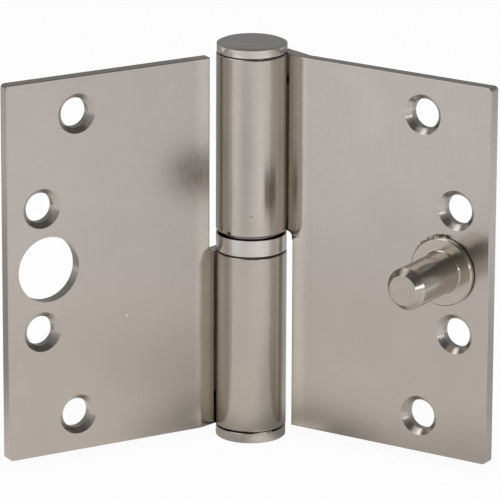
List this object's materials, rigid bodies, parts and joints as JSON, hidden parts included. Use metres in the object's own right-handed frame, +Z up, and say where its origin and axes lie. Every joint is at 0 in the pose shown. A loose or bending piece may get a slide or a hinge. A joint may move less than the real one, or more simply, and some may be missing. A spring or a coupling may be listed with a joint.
{
  "type": "ball bearing butt hinge",
  "caption": "Butt hinge with two rolled knuckles, a thrust ball bearing between them, countersunk leaves and a security pin that enters a hole in the other leaf.",
  "frame": {"origin": "on the pivot axis, at the flat end of the bottom cap", "axes": "+Z up along the pivot axis; the frame leaf lies along -X with its countersunk face towards -Y; the door leaf stands open 118.04 degrees from closed"},
  "size_m": [0.0958, 0.0645, 0.0948],
  "materials": {
    "leaf_steel": "satin nickel plate with a fine upright grain",
    "turned_steel": "turned and satin nickel plated",
    "pin_steel": "ground steel",
    "bearing_steel": "hardened and polished"
  },
  "bodies": {
    "frame_side": {"frame_leaf": "leaf_steel", "hinge_pin": "pin_steel", "bottom_cap": "turned_steel", "bearing_shell": "turned_steel", "lower_race": "bearing_steel"},
    "door_side": {"door_leaf": "leaf_steel", "top_cap": "turned_steel", "security_pin": "turned_steel", "upper_race": "bearing_steel"},
    "ball_ring": {"ball_01": "bearing_steel", "ball_02": "bearing_steel", "ball_03": "bearing_steel", "ball_04": "bearing_steel", "ball_05": "bearing_steel", "ball_06": "bearing_steel", "ball_07": "bearing_steel", "ball_08": "bearing_steel", "ball_09": "bearing_steel", "ball_10": "bearing_steel", "ball_11": "bearing_steel", "ball_12": "bearing_steel", "ball_13": "bearing_steel", "ball_14": "bearing_steel", "ball_15": "bearing_steel", "ball_16": "bearing_steel", "ball_17": "bearing_steel", "ball_18": "bearing_steel"}
  },
  "joints": [
    {"name": "door_swing", "type": "hinge", "parent": "frame_side", "child": "door_side", "pos_m": [0, 0, 0.0472], "axis": [0, 0, 1], "range_deg": [-118.04, 181.96]},
    {"name": "ball_roll", "type": "hinge", "parent": "frame_side", "child": "ball_ring", "pos_m": [0, 0, 0.0472], "axis": [0, 0, 1], "range_deg": [-59.02, 90.98]}
  ],
  "couplings": [
    {"joint": "ball_roll", "follows": "door_swing", "ratio": 0.5}
  ]
}
